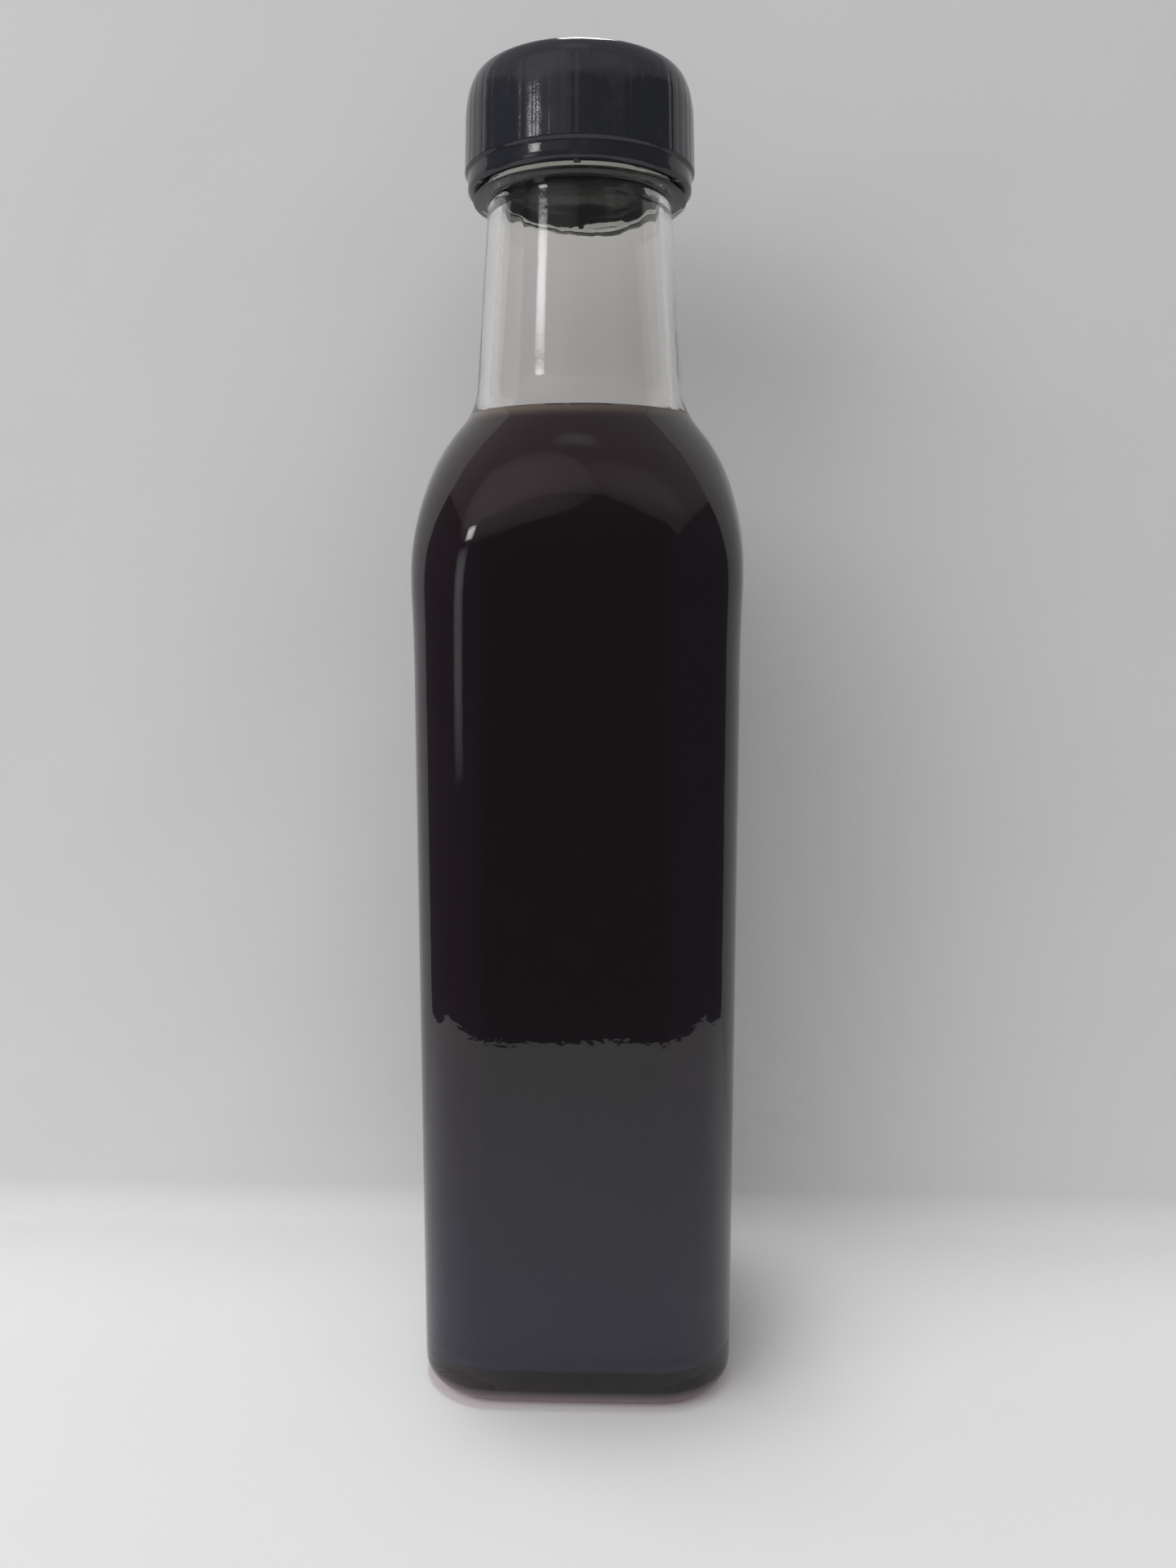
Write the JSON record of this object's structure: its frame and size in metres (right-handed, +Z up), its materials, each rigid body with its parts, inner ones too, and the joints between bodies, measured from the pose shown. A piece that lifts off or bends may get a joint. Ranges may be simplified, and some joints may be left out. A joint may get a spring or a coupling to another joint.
{
  "type": "pomegranate molasses bottle",
  "caption": "Square clear glass bottle of dark pomegranate molasses, with arched panels, a round tapered neck and a black ribbed screw cap.",
  "frame": {"origin": "middle of the bottle's footprint, on the surface it stands on", "axes": "+Z up along the bottle's axis, -Y out of the front panel, +X to the right of the front panel"},
  "size_m": [0.0536, 0.0536, 0.2118],
  "materials": {
    "clear_glass": "clear, smooth and glossy",
    "dark_molasses": "thick near-black brown syrup, glossy",
    "black_plastic": "moulded black, satin gloss"
  },
  "bodies": {
    "root": {"bottle_glass": "clear_glass", "molasses": "dark_molasses", "screw_cap": "black_plastic"}
  },
  "joints": []
}
